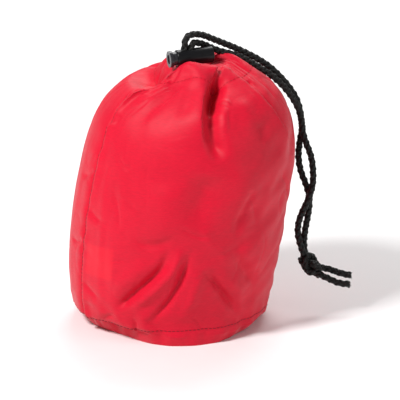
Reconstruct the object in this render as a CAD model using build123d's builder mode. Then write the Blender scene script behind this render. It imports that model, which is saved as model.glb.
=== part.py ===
from build123d import *
import os
from math import cos, pi, radians, sin, tan

# A drawstring sack of coated nylon with its folded fire blanket inside. Millimetres, +Z up, -Y is
# the front. The origin is the centre of the flat round patch that the sack stands on.

# ---- Sack -------------------------------------------------------------------------------------
# The sack leans a little to +X. Each section: height, x of its centre, radius.
SACK_SECTIONS = [
    (8, 0, 70),
    (45, 3, 76),
    (84, 7.5, 77.3),
    (120, 13, 76),
    (146, 16.5, 72.5),
    (160, 18, 66.5),
    (169, 19.5, 60),
    (177, 20.5, 50),
    (184, 20.5, 38),
]
CLOTH = 1.0                 # body cloth with the small gathers it carries
BASE_FLAT_RADIUS = 60       # the patch that rests on the ground
BASE_Z, _, BASE_RADIUS = SACK_SECTIONS[0]
MOUTH_Z, MOUTH_X, MOUTH_RADIUS = SACK_SECTIONS[-1]
LEAN = Vector(MOUTH_X, 0, MOUTH_Z - BASE_Z).normalized()

SEAM_ANGLE = 208.5          # the side seam's place round the sack, from +X
SEAM_TAPE_WIDTH = 10
SEAM_TAPE_THICK = 0.8
SEAM_TAPE_SHORT = 8         # how far below the mouth the seam's tape and its thread end
SEAM_THREAD_SHORT = 4
STRIP_REACH = 200           # from the axis outward, past the cloth
THREAD = 0.8                # diameter of a row of sewing thread
BINDING_HEIGHT = 5
BINDING_THICK = 1.4
LABEL_ANGLE = 224.5
LABEL_WIDTH = 30
LABEL_HEIGHT = 22
LABEL_THICK = 0.4
LABEL_Z = 61

# ---- Hem channel at the mouth -----------------------------------------------------------------
THROAT_RADIUS = 11.5        # what is left open when the mouth is drawn tight
HEM_CREST_RADIUS = 24
HEM_TOP = 193
CHANNEL_RADIUS = 19         # radius of the cord's ring inside the hem
CHANNEL_Z = 188
CHANNEL_BORE = 2.8
EXIT_SLOT = (13, 7.6)       # the buttonhole that both ends of the cord come out of
BARTACK = (1.2, 5, 0.12)      # of each: width, length, height

# ---- Cord and cord lock -----------------------------------------------------------------------
CORD = 4.0                  # diameter
LOCK_END = Vector(31.4, -11.1, 200.2)                   # centre of the barrel's closed end
LOCK_AXIS = Vector(-0.951, -0.303, -0.037).normalized() # from the closed end to the plunger
BARREL_LENGTH = 27
BARREL_RADIUS = 6.0
BARREL_BORE = 4.9
BARREL_FLOOR = 2.0
BARREL_ROUND = 1.2
HOLE_START, HOLE_END, HOLE_WIDTH = 14.5, 23.2, 4.4      # the slot both cords run through
PLUNGER_RADIUS = 4.82
PLUNGER_START = 11.5
PLUNGER_SLOT_END = 26.6
PLUNGER_TRAVEL = 3.0
HEAD_START = BARREL_LENGTH + PLUNGER_TRAVEL + 0.2
HEAD_THICK = 2.4
HEAD_RADIUS = 5.9
DIMPLE_RADIUS = 3.4
DIMPLE_DEPTH = 0.8
SPRING_RADIUS = 3.6
SPRING_WIRE = 0.7
SPRING_TURNS = 5
INNER_CORD_AT, OUTER_CORD_AT = 16.75, 20.95             # along the lock's axis

# The hole's direction, square to the lock's axis and as near to upright as that allows.
LOCK_UP = (Vector(0, 0, 1) - LOCK_AXIS * LOCK_AXIS.Z).normalized()
LOCK_PLANE = Plane(origin=LOCK_END, x_dir=LOCK_UP, z_dir=LOCK_AXIS)


def in_lock(along, up):
    """A point given along the lock's axis and along its cord hole."""
    return tuple(LOCK_END + LOCK_AXIS * along + LOCK_UP * up)


# ---- Routes of the cord -----------------------------------------------------------------------
CORD_START = -3.5           # below the lock's axis, where a free strand takes over from the hem's
CORD_CORNER = -11.7         # where the cord turns into the hem's channel

# From the lock, over the right shoulder, to where the hanging ends start to swing.
INNER_OVER_SHOULDER = [
    in_lock(INNER_CORD_AT, CORD_START),
    in_lock(INNER_CORD_AT, 11.0),
    (23.8, -7.4, 207.2),
    (33.0, 0.0, 200.2),
    (41.0, 2.8, 197.0),
    (51.5, 5.5, 193.7),
    (62.5, 8.5, 185.7),
    (72.5, 11.0, 178.9),
    (81.5, 12.5, 170.3),
    (89.2, 12.5, 160.6),
    (94.8, 11.5, 149.5),
    (96.2, 10.0, 138.0),
]
OUTER_OVER_SHOULDER = [
    in_lock(OUTER_CORD_AT, CORD_START),
    in_lock(OUTER_CORD_AT, 10.5),
    (14.0, -14.0, 215.4),
    (23.0, -8.0, 214.2),
    (31.5, -2.0, 208.8),
    (41.5, 4.5, 202.8),
    (51.5, 10.0, 196.8),
    (62.5, 14.0, 190.0),
    (72.0, 16.8, 183.0),
    (81.0, 18.2, 173.8),
    (88.4, 18.6, 164.4),
    (94.0, 18.0, 154.0),
    (96.2, 14.8, 138.0),
]
# From the pivot down to the knot: the two strands wind once round each other.
INNER_HANGING = [
    (96.2, 9.9, 136.4),
    (98.5, 8.6, 128.0),
    (102.6, 7.6, 118.5),
    (104.2, 6.6, 107.0),
    (104.0, 5.4, 96.5),
    (100.8, 4.2, 86.0),
    (95.8, 3.6, 76.0),
    (92.8, 4.2, 65.5),
    (93.8, 5.0, 54.5),
    (97.6, 5.2, 44.0),
]
OUTER_HANGING = [
    (96.2, 14.9, 136.4),
    (94.4, 14.0, 127.0),
    (93.2, 12.8, 115.0),
    (95.4, 11.4, 104.0),
    (99.6, 10.2, 94.5),
    (102.0, 9.8, 83.5),
    (100.6, 9.8, 72.0),
    (98.4, 9.8, 61.0),
    (97.4, 9.8, 49.5),
    (98.6, 9.8, 43.0),
]
KNOT_CENTRE = Vector(102.6, 7.2, 35.4)
KNOT_AXIS = Vector(0.74, 0, -0.67)
KNOT_HALF_LENGTH = 10.2
KNOT_HALF_WIDTH = 7.2
UPPER_TAIL = [
    (108.5, 9.4, 32.8),
    (116.0, 9.9, 31.4),
    (123.5, 9.2, 28.4),
    (131.5, 9.6, 26.6),
]
LOWER_TAIL = [
    (108.0, 5.0, 29.2),
    (115.5, 4.2, 26.0),
    (123.0, 4.9, 21.8),
    (130.5, 4.2, 21.6),
]
ROUND_SHARE = 0.45          # of the shorter run at each corner, for its arc

# ---- Blanket ----------------------------------------------------------------------------------
ROLL_FOOT = Vector(1, 0, 12.5)
ROLL_HEIGHT = 138
ROLL_LAYER = 7.0            # eight plies of glass cloth, loosely folded
ROLL_PITCH = 8.0
ROLL_CORE = 9.0
ROLL_TURNS = 6
ROLL_LEAN = Vector(0.09, 0, 1).normalized()
ROLL_PLANE = Plane(origin=ROLL_FOOT, x_dir=Vector(1, 0, 0), z_dir=ROLL_LEAN)
HEM_TAPE_WIDTH = 14
HEM_TAPE_THICK = 1.2
TAPE_WIDTH = 25
TAPE_THICK = 1.6
TAPE_REACH = 46
TAPE_LOOP = 7
TAPE_OFFSET = 25


def save(built, name):
    """Label a finished piece and write its file."""
    built.part.label = name
    export_step(built.part, f"parts/{name}.step")


def loft_sack(inset, mode=Mode.ADD):
    """Loft the sack's outline, moved inward by inset, into the part being made."""
    sections = []
    for height, centre, radius in SACK_SECTIONS:
        with BuildSketch(Plane.XY.offset(height)) as section:
            with Locations((centre, 0)):
                Circle(radius - inset)
        sections.append(section.sketch)
    loft(sections=sections, ruled=True, mode=mode)


def leaning_plane(angle):
    """A plane at the base whose Z follows the sack's lean and whose X points at a place round it."""
    outward = Vector(cos(radians(angle)), sin(radians(angle)), 0)
    return Plane(origin=(0, 0, BASE_Z), x_dir=outward - LEAN * outward.dot(LEAN), z_dir=LEAN)


def keep_strip(angle, width, low, high):
    """Keep only an upright strip of the part being made."""
    with Locations(leaning_plane(angle)):
        with Locations((0, 0, low)):
            Box(STRIP_REACH, width, high - low, align=(Align.MIN, Align.CENTER, Align.MIN), mode=Mode.INTERSECT)


def cord_radii(points):
    """The largest tangent arc that each corner of a route leaves room for."""
    corners = [Vector(*p) for p in points]
    radii = []
    for before, corner, after in zip(corners, corners[1:], corners[2:]):
        turn = radians((corner - before).get_angle(after - corner))
        shorter = min((corner - before).length, (after - corner).length)
        radii.append(ROUND_SHARE * shorter / tan(turn / 2))
    return radii


def sweep_cord(name, points):
    """A round cord along a route of straight runs and tangent arcs, in the part being made."""
    radii = cord_radii(points)
    with BuildLine() as route:
        FilletPolyline(*points, radius=radii)
    with BuildSketch(Plane(origin=route.line @ 0, z_dir=route.line % 0)) as section:
        Circle(CORD / 2)
    sweep(sections=section.sketch, path=route.line)
    length = route.wires()[0].length
    print(f"{name}: length {length:.1f}, radii {[round(r, 1) for r in radii]}")
    return length


def report_volume(name, part, length):
    print(f"{name}: volume {part.volume:.0f}, section x length {pi * CORD ** 2 / 4 * length:.0f}")


os.makedirs("parts", exist_ok=True)

# ---- Sack cloth -------------------------------------------------------------------------------
with BuildPart() as bag_wall:
    loft_sack(0)
    loft_sack(CLOTH, Mode.SUBTRACT)
save(bag_wall, "bag_wall")

with BuildPart() as bag_base:
    with BuildSketch(Plane.XZ):
        with BuildLine():
            Polyline(
                (0, 0),
                (BASE_FLAT_RADIUS, 0),
                (BASE_RADIUS, BASE_Z),
                (BASE_RADIUS - CLOTH, BASE_Z),
                (BASE_FLAT_RADIUS - CLOTH / 2, CLOTH),
                (0, CLOTH),
                close=True,
            )
        make_face()
    revolve(axis=Axis.Z)
save(bag_base, "bag_base")

with BuildPart() as base_seam_binding:
    with BuildSketch(Plane.XY.offset(BASE_Z)):
        Circle(BASE_RADIUS - CLOTH)
        Circle(BASE_RADIUS - CLOTH - BINDING_THICK, mode=Mode.SUBTRACT)
    extrude(amount=BINDING_HEIGHT)
save(base_seam_binding, "base_seam_binding")

with BuildPart() as base_seam_thread:
    with Locations((0, 0, BASE_Z - THREAD / 2)):
        Torus(BASE_RADIUS + THREAD / 2, THREAD / 2)
save(base_seam_thread, "base_seam_thread")

seam_length = (MOUTH_Z - BASE_Z) / LEAN.Z
with BuildPart() as side_seam_tape:
    loft_sack(CLOTH)
    loft_sack(CLOTH + SEAM_TAPE_THICK, Mode.SUBTRACT)
    keep_strip(SEAM_ANGLE, SEAM_TAPE_WIDTH, BINDING_HEIGHT + 1, seam_length - SEAM_TAPE_SHORT)
save(side_seam_tape, "side_seam_tape")

with BuildPart() as side_seam_thread:
    loft_sack(-THREAD / 2)
    loft_sack(0, Mode.SUBTRACT)
    keep_strip(SEAM_ANGLE, THREAD, 2, seam_length - SEAM_THREAD_SHORT)
save(side_seam_thread, "side_seam_thread")

label_low = LABEL_Z - LABEL_HEIGHT / 2 - BASE_Z
with BuildPart() as care_label:
    loft_sack(CLOTH + 0.1)
    loft_sack(CLOTH + 0.1 + LABEL_THICK, Mode.SUBTRACT)
    keep_strip(LABEL_ANGLE, LABEL_WIDTH, label_low, label_low + LABEL_HEIGHT)
save(care_label, "care_label")

# ---- Hem channel ------------------------------------------------------------------------------
exit_centre = Vector(*in_lock((INNER_CORD_AT + OUTER_CORD_AT) / 2, CORD_CORNER))
exit_plane = Plane(
    origin=(exit_centre.X, exit_centre.Y, CHANNEL_Z), x_dir=(LOCK_AXIS.X, LOCK_AXIS.Y, 0), z_dir=(0, 0, 1)
)
mouth_axis = Axis((MOUTH_X, 0, 0), (0, 0, 1))

with BuildPart() as cord_channel_hem:
    with BuildSketch(Plane.XZ):
        with BuildLine():
            Polyline(
                (MOUTH_X + MOUTH_RADIUS, MOUTH_Z),
                (MOUTH_X + MOUTH_RADIUS, MOUTH_Z + 2.5),
                (MOUTH_X + HEM_CREST_RADIUS, HEM_TOP - 1),
                (MOUTH_X + THROAT_RADIUS + 2, HEM_TOP),
                (MOUTH_X + THROAT_RADIUS, HEM_TOP - 2),
                (MOUTH_X + THROAT_RADIUS, MOUTH_Z + 1),
                (MOUTH_X + HEM_CREST_RADIUS, MOUTH_Z),
                close=True,
            )
        make_face()
        with Locations((MOUTH_X + CHANNEL_RADIUS, CHANNEL_Z)):
            Circle(CHANNEL_BORE, mode=Mode.SUBTRACT)
    revolve(axis=mouth_axis)
    with BuildSketch(exit_plane.offset(-CHANNEL_BORE)):
        RectangleRounded(*EXIT_SLOT, radius=EXIT_SLOT[1] / 2 - 0.1)
    extrude(amount=HEM_TOP, mode=Mode.SUBTRACT)
save(cord_channel_hem, "cord_channel_hem")

with BuildPart() as hem_thread:
    with Locations((MOUTH_X, 0, MOUTH_Z + 1)):
        Torus(MOUTH_RADIUS + THREAD / 2, THREAD / 2)
save(hem_thread, "hem_thread")

with BuildPart() as exit_bartacks:
    tack_x = EXIT_SLOT[0] / 2 + BARTACK[0]
    with BuildSketch(exit_plane.offset(HEM_TOP - CHANNEL_Z)):
        with Locations((-tack_x, 0), (tack_x, 0)):
            RectangleRounded(BARTACK[0], BARTACK[1], radius=BARTACK[0] / 2.2)
    extrude(amount=BARTACK[2])
save(exit_bartacks, "exit_bartacks")

# ---- Drawcord ---------------------------------------------------------------------------------
ring_start, ring_step, ring_corners = 288, 28.8, 11
ring_radius = CHANNEL_RADIUS / cos(radians(ring_step / 2))
ring_angles = [radians(ring_start + ring_step * i) for i in range(ring_corners)]
ring = [(MOUTH_X + ring_radius * cos(a), ring_radius * sin(a), CHANNEL_Z) for a in ring_angles]
inner_exit = INNER_OVER_SHOULDER[0]
outer_exit = OUTER_OVER_SHOULDER[0]
HEM_RUN = [
    inner_exit,
    in_lock(INNER_CORD_AT, CORD_CORNER),
    *ring,
    in_lock(OUTER_CORD_AT, CORD_CORNER),
    outer_exit,
]

for cord_name, cord_points in (
    ("drawcord_hem_run", HEM_RUN),
    ("drawcord_inner_over_shoulder", INNER_OVER_SHOULDER),
    ("drawcord_outer_over_shoulder", OUTER_OVER_SHOULDER),
    ("drawcord_inner_hanging", INNER_HANGING),
    ("drawcord_outer_hanging", OUTER_HANGING),
    ("drawcord_upper_tail", UPPER_TAIL),
    ("drawcord_lower_tail", LOWER_TAIL),
):
    with BuildPart() as cord:
        cord_length = sweep_cord(cord_name, cord_points)
    report_volume(cord_name, cord.part, cord_length)
    save(cord, cord_name)

with BuildPart() as drawcord_knot:
    knot_side = Vector(0, 1, 0)
    with BuildSketch(Plane(origin=KNOT_CENTRE, x_dir=knot_side, z_dir=knot_side.cross(KNOT_AXIS))):
        Ellipse(KNOT_HALF_WIDTH, KNOT_HALF_LENGTH)
        Rectangle(
            2 * KNOT_HALF_WIDTH, 4 * KNOT_HALF_LENGTH,
            align=(Align.MAX, Align.CENTER), mode=Mode.SUBTRACT,
        )
    revolve(axis=Axis(KNOT_CENTRE, KNOT_AXIS))
save(drawcord_knot, "drawcord_knot")

# ---- Cord lock --------------------------------------------------------------------------------
hole_length = HOLE_END - HOLE_START
with BuildPart() as lock_barrel:
    with BuildSketch(LOCK_PLANE):
        Circle(BARREL_RADIUS)
    extrude(amount=BARREL_LENGTH)
    fillet(lock_barrel.edges().filter_by(GeomType.CIRCLE), BARREL_ROUND / 2)
    with BuildSketch(LOCK_PLANE.offset(BARREL_FLOOR)):
        Circle(BARREL_BORE)
    extrude(amount=BARREL_LENGTH, mode=Mode.SUBTRACT)
    with Locations(LOCK_PLANE):
        with Locations((0, 0, HOLE_START)):
            Box(
                4 * BARREL_RADIUS, HOLE_WIDTH, hole_length,
                align=(Align.CENTER, Align.CENTER, Align.MIN), mode=Mode.SUBTRACT,
            )
save(lock_barrel, "lock_barrel")

with BuildPart() as lock_plunger:
    with BuildSketch(LOCK_PLANE.offset(PLUNGER_START)):
        Circle(PLUNGER_RADIUS)
    extrude(amount=HEAD_START - PLUNGER_START)
    with BuildSketch(LOCK_PLANE.offset(HEAD_START)):
        Circle(HEAD_RADIUS)
    extrude(amount=HEAD_THICK)
    with BuildSketch(LOCK_PLANE.offset(HEAD_START + HEAD_THICK - DIMPLE_DEPTH)):
        Circle(DIMPLE_RADIUS)
    extrude(amount=2 * DIMPLE_DEPTH, mode=Mode.SUBTRACT)
    with Locations(LOCK_PLANE):
        with Locations((0, 0, HOLE_START + 0.1)):
            Box(
                4 * PLUNGER_RADIUS, HOLE_WIDTH, PLUNGER_SLOT_END - HOLE_START - 0.1,
                align=(Align.CENTER, Align.CENTER, Align.MIN), mode=Mode.SUBTRACT,
            )
save(lock_plunger, "lock_plunger")

spring_room = PLUNGER_START - BARREL_FLOOR - SPRING_WIRE - 0.2
with BuildPart() as lock_spring:
    with BuildLine() as coil:
        Helix(
            pitch=spring_room / SPRING_TURNS,
            height=spring_room,
            radius=SPRING_RADIUS,
            center=in_lock(BARREL_FLOOR + SPRING_WIRE / 2 + 0.1, 0),
            direction=LOCK_AXIS,
        )
    with BuildSketch(Plane(origin=coil.line @ 0, z_dir=coil.line % 0)):
        Circle(SPRING_WIRE / 2)
    sweep(is_frenet=True)
save(lock_spring, "lock_spring")

# ---- Fire blanket, folded and rolled ----------------------------------------------------------


def spiral_arcs(start_radius, half_turns):
    """Half-turn arcs on two centres, which grow by one pitch in each full turn."""
    arcs = []
    for i in range(half_turns):
        centre = (0, 0) if i % 2 == 0 else (ROLL_PITCH / 2, 0)
        arcs.append((centre, start_radius + i * ROLL_PITCH / 2, 180 * (i % 2)))
    return arcs


half_turns = 2 * ROLL_TURNS
outer_end = ROLL_CORE + ROLL_LAYER + ROLL_TURNS * ROLL_PITCH
with BuildPart() as blanket_cloth:
    with BuildSketch(ROLL_PLANE):
        with BuildLine():
            for centre, radius, start in spiral_arcs(ROLL_CORE, half_turns):
                CenterArc(centre, radius, start, 180)
            for centre, radius, start in spiral_arcs(ROLL_CORE + ROLL_LAYER, half_turns):
                CenterArc(centre, radius, start, 180)
            Line((ROLL_CORE, 0), (ROLL_CORE + ROLL_LAYER, 0))
            Line((outer_end - ROLL_LAYER, 0), (outer_end, 0))
        make_face()
    extrude(amount=ROLL_HEIGHT)
save(blanket_cloth, "blanket_cloth")

last_radius = ROLL_CORE + ROLL_LAYER + (half_turns - 1) * ROLL_PITCH / 2
tape_turn = HEM_TAPE_WIDTH / last_radius * 180 / pi
with BuildPart() as blanket_hem_tape:
    with BuildSketch(ROLL_PLANE.offset(1)):
        with Locations((ROLL_PITCH / 2, 0)):
            Circle(last_radius + HEM_TAPE_THICK)
            Circle(last_radius, mode=Mode.SUBTRACT)
            Polygon(
                (0, 0),
                (2 * last_radius, 0),
                (2 * last_radius, -2 * last_radius * tan(radians(tape_turn))),
                align=None,
                mode=Mode.INTERSECT,
            )
    extrude(amount=ROLL_HEIGHT - 2)
save(blanket_hem_tape, "blanket_hem_tape")

for tape_name, side in (("pull_tape_left", -1), ("pull_tape_right", 1)):
    tape_plane = Plane(
        origin=ROLL_PLANE.from_local_coords((side * TAPE_OFFSET, 0, ROLL_HEIGHT + TAPE_THICK / 2 + 0.2)),
        x_dir=ROLL_PLANE.x_dir * side,
        z_dir=ROLL_PLANE.y_dir * -side,
    )
    with BuildPart() as pull_tape:
        with BuildSketch(tape_plane):
            with BuildLine():
                flat = Line((-TAPE_REACH / 2, 0), (TAPE_REACH / 2 - TAPE_LOOP, 0))
                bend = TangentArc(flat @ 1, flat @ 1 + Vector(0, TAPE_LOOP), tangent=flat % 1)
                Line(bend @ 1, (-TAPE_REACH / 2 + TAPE_LOOP, TAPE_LOOP))
                offset(amount=TAPE_THICK / 2, side=Side.BOTH)
            make_face()
        extrude(amount=TAPE_WIDTH / 2, both=True)
    save(pull_tape, tape_name)
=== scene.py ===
from math import cos, pi, radians, sin

import bpy
import numpy as np
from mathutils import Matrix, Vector


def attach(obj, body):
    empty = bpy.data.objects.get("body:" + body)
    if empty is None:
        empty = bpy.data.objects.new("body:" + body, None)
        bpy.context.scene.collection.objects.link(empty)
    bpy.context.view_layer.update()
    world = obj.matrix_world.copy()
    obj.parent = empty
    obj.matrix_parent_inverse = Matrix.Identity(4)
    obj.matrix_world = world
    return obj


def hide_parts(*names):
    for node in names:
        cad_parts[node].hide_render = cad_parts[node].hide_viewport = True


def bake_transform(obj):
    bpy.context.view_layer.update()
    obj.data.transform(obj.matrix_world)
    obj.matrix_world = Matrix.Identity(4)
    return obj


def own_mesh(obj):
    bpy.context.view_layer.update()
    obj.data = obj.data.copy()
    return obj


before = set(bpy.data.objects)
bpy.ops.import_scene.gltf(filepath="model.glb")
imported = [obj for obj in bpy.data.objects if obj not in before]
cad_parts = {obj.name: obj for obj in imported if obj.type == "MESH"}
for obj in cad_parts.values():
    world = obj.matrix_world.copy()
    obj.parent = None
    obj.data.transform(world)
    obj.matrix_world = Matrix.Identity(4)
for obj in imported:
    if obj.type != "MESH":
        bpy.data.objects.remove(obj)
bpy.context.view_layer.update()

MM = 0.001

# ---- Camera, the studio and the finish of the picture ----
TARGET = Vector((0.0226, 0.0, 0.087))
CAMERA_DISTANCE = 5.0
CAMERA_ELEVATION = radians(18)
LENS = 625.0
FLOOR_REACH = 9.0
SURROUND_STRENGTH = 0.22
# Each lamp: name, place, size, power.
LAMPS = (
    ("key_lamp", (-0.85, -0.8, 1.35), 0.35, 30),
    ("fill_lamp", (1.1, -0.5, 0.5), 0.6, 3),
    ("back_lamp", (0.2, 0.9, 1.1), 0.8, 12),
)


def make_camera():
    """The camera straight in front of the sack, looking a little down on it."""
    data = bpy.data.cameras.new("camera")
    data.lens = LENS
    data.sensor_width = 36
    camera = bpy.data.objects.new("camera", data)
    bpy.context.collection.objects.link(camera)
    away = Vector((0, -cos(CAMERA_ELEVATION), sin(CAMERA_ELEVATION)))
    camera.location = TARGET + away * CAMERA_DISTANCE
    camera.rotation_euler = (-away).to_track_quat("-Z", "Y").to_euler()
    bpy.context.scene.camera = camera
    bpy.context.scene.view_settings.view_transform = "Standard"


def area_light(name, place, size, power):
    """A large soft square lamp that points at the sack."""
    data = bpy.data.lights.new(name, "AREA")
    data.energy = power
    data.size = size
    lamp = bpy.data.objects.new(name, data)
    bpy.context.collection.objects.link(lamp)
    lamp.location = place
    lamp.rotation_euler = (TARGET - Vector(place)).to_track_quat("-Z", "Y").to_euler()


def make_studio():
    """A wide pale floor, a white surround and three soft lamps."""
    world = bpy.data.worlds.new("surround")
    bpy.context.scene.world = world
    world.use_nodes = True
    background = world.node_tree.nodes["Background"]
    background.inputs["Color"].default_value = (1.0, 1.0, 1.0, 1)
    background.inputs["Strength"].default_value = SURROUND_STRENGTH
    for lamp in LAMPS:
        area_light(*lamp)
    sides = np.linspace(-FLOOR_REACH, FLOOR_REACH, 25)
    across, deep = np.meshgrid(sides, sides)
    points = np.stack([across, deep, np.zeros_like(across)], axis=2)
    paper = grained_material("studio_paper", (0.9, 0.9, 0.9), 0.8, (0.89, 0.89, 0.89), (0.91, 0.91, 0.91),
                             (0.75, 0.9), (60.0, 4.0), (0.03, 0.0005))
    sheet_object("studio_floor", points / MM, paper)


# ---- Meshes ----
def new_soup():
    """An empty mesh in the making: points in millimetres, faces, and a UV for each face corner."""
    return {"points": [], "faces": [], "uvs": [], "count": 0}


def add_grid(soup, points, u=None, v=None, wrap=False, caps=False):
    """Add rows x columns points as quads. wrap joins the last column to the first."""
    rows, columns = points.shape[:2]
    spans = columns if wrap else columns - 1
    u = np.linspace(0, 1, spans + 1) if u is None else np.asarray(u)
    v = np.linspace(0, 1, rows) if v is None else np.asarray(v)
    i, j = np.meshgrid(np.arange(rows - 1), np.arange(spans), indexing="ij")
    i, j = i.ravel(), j.ravel()
    k = (j + 1) % columns
    start = soup["count"]
    row, above = start + i * columns, start + (i + 1) * columns
    quads = np.stack([row + j, row + k, above + k, above + j], axis=1)
    uvs = np.stack([u[j], v[i], u[j + 1], v[i], u[j + 1], v[i + 1], u[j], v[i + 1]], axis=1)
    soup["faces"].extend(quads.tolist())
    soup["uvs"].append(uvs.reshape(-1, 2))
    if caps:
        around = np.arange(columns)
        for ring, edge in ((start + around[::-1], v[0]), (start + (rows - 1) * columns + around, v[-1])):
            soup["faces"].append(ring.tolist())
            soup["uvs"].append(np.stack([around / columns, np.full(columns, edge)], axis=1))
    soup["points"].append(points.reshape(-1, 3))
    soup["count"] += rows * columns


def make_object(name, soup, material, values=None):
    """The finished mesh object. values are named numbers, one for each point."""
    mesh = bpy.data.meshes.new(name)
    points = np.concatenate(soup["points"]) * MM
    mesh.from_pydata(points.tolist(), [], soup["faces"])
    layer = mesh.uv_layers.new(name="UVMap")
    layer.data.foreach_set("uv", np.concatenate(soup["uvs"]).astype(np.float32).ravel())
    mesh.polygons.foreach_set("use_smooth", np.ones(len(mesh.polygons), bool))
    for title, numbers in (values or {}).items():
        attribute = mesh.attributes.new(title, "FLOAT", "POINT")
        attribute.data.foreach_set("value", np.asarray(numbers, np.float32).ravel())
    mesh.materials.append(material)
    mesh.update()
    thing = bpy.data.objects.new(name, mesh)
    bpy.context.collection.objects.link(thing)
    return thing


def sheet_object(name, points, material, values=None, **grid):
    """A mesh object of a single grid of points."""
    soup = new_soup()
    add_grid(soup, points, **grid)
    return make_object(name, soup, material, values)


def stand_in(piece, body, slot, *nodes):
    """Let a piece ride a body in place of CAD nodes. slot is not used."""
    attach(piece, body)
    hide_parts(*nodes)


def unit(vectors):
    """Each vector at length 1."""
    return vectors / np.maximum(np.linalg.norm(vectors, axis=-1, keepdims=True), 1e-9)


def at_marks(marks, along, table):
    """The rows of a table of three columns at some distances along it."""
    return np.stack([np.interp(marks, along, table[:, k]) for k in range(3)], axis=1)


def softened(table, kernel):
    """A table of three columns, each value the weighted mean of its neighbours."""
    return np.stack([np.convolve(table[:, k], kernel, "valid") for k in range(3)], axis=1)


def resample(path, step):
    """Points at even steps along a polyline, and how far along it each one is."""
    runs = np.linalg.norm(np.diff(path, axis=0), axis=1)
    along = np.concatenate([[0], np.cumsum(runs)])
    marks = np.linspace(0, along[-1], max(2, int(round(along[-1] / step)) + 1))
    return at_marks(marks, along, path), marks


def eased(line, width):
    """A line in which each point becomes the mean of so many neighbours, for folds and the knot."""
    kernel = np.hanning(width + 2)[1:-1]
    kernel = kernel / kernel.sum()
    half = width // 2
    padded = np.concatenate([np.repeat(line[:1], half, 0), line, np.repeat(line[-1:], half, 0)])
    return softened(padded, kernel)


def about_axis(turn, radius, height, centre=0.0):
    """Points at a turn in radians and a radius about an upright line at x = centre."""
    across, deep = centre + radius * np.cos(turn), radius * np.sin(turn)
    return np.stack(np.broadcast_arrays(across, deep, height), axis=-1)


def frames_along(path):
    """Two directions across a path at each of its points, which never twist about it."""
    tangent = unit(np.gradient(path, axis=0))
    across = np.zeros_like(path)
    first = np.cross(tangent[0], [0.0, 0.0, 1.0])
    if np.linalg.norm(first) < 0.2:
        first = np.cross(tangent[0], [0.0, 1.0, 0.0])
    across[0] = unit(first)
    for i in range(1, len(path)):
        across[i] = unit(across[i - 1] - tangent[i] * np.dot(across[i - 1], tangent[i]))
    return tangent, across, np.cross(tangent, across)


def add_tube(soup, path, radius, sides=8, caps=True):
    """A round tube along a path. radius is one number, or one for each point."""
    _, across, other = frames_along(path)
    turn = np.linspace(0, 2 * pi, sides, endpoint=False)
    radius = np.broadcast_to(np.asarray(radius, float), (len(path),))
    ring = across[:, None] * np.cos(turn)[None, :, None] + other[:, None] * np.sin(turn)[None, :, None]
    add_grid(soup, path[:, None] + ring * radius[:, None, None], wrap=True, caps=caps)


# ---- Materials ----
def feed(socket, value):
    """Give a socket a value, or a link from another socket."""
    if isinstance(value, bpy.types.NodeSocket):
        socket.id_data.links.new(value, socket)
    else:
        socket.default_value = value


def new_material(name, color, roughness, **settings):
    """A material, its shader, and a function that adds a node to it."""
    material = bpy.data.materials.new(name)
    material.use_nodes = True
    tree = material.node_tree
    shader = tree.nodes["Principled BSDF"]
    shader.inputs["Base Color"].default_value = (*color, 1)
    shader.inputs["Roughness"].default_value = roughness
    for title, value in settings.items():
        shader.inputs[title.replace("_", " ")].default_value = value

    def node(kind, **inputs):
        made = tree.nodes.new(kind)
        for title, value in inputs.items():
            feed(made.inputs[title.replace("_", " ")], value)
        return made

    return material, shader, node


def dress(shader, color, roughness, bump):
    """Link a colour, a roughness and a bump to a shader."""
    for title, socket in (("Base Color", color), ("Roughness", roughness), ("Normal", bump.outputs[0])):
        feed(shader.inputs[title], socket)


def mixed(node, factor, first, second):
    """A mix of two colours, each a socket or red, green and blue."""
    mix = node("ShaderNodeMix")
    mix.data_type = "RGBA"
    for number, value in ((0, factor), (6, first), (7, second)):
        feed(mix.inputs[number], (*value, 1) if isinstance(value, tuple) else value)
    return mix.outputs[2]


def ranged(node, value, low, high):
    """A value from 0 to 1 moved into low to high."""
    scale = node("ShaderNodeMapRange", Value=value)
    scale.inputs["To Min"].default_value = low
    scale.inputs["To Max"].default_value = high
    return scale.outputs["Result"]


def maths(node, operation, first, second):
    """One step of arithmetic on two sockets or numbers."""
    step = node("ShaderNodeMath")
    step.operation = operation
    for socket, value in zip(step.inputs, (first, second)):
        feed(socket, value)
    return step.outputs[0]


def woven(node, across, along):
    """A plain weave from the UV map: the height of warp and weft, across and along yarns a unit."""
    uv = node("ShaderNodeUVMap").outputs["UV"]
    parts = node("ShaderNodeSeparateXYZ", Vector=uv)
    warp = maths(node, "SINE", maths(node, "MULTIPLY", parts.outputs["X"], across * pi), 0.0)
    weft = maths(node, "SINE", maths(node, "MULTIPLY", parts.outputs["Y"], along * pi), 0.0)
    return maths(node, "MULTIPLY", warp, weft)


def object_noise(node, scale, detail=4.0, roughness=0.55, stretch=(1, 1, 1)):
    """Noise fixed to the object."""
    place = node("ShaderNodeTexCoord").outputs["Object"]
    mapping = node("ShaderNodeMapping", Vector=place, Scale=stretch)
    return node("ShaderNodeTexNoise", Vector=mapping.outputs[0], Scale=scale, Detail=detail,
                Roughness=roughness).outputs[0]


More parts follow.
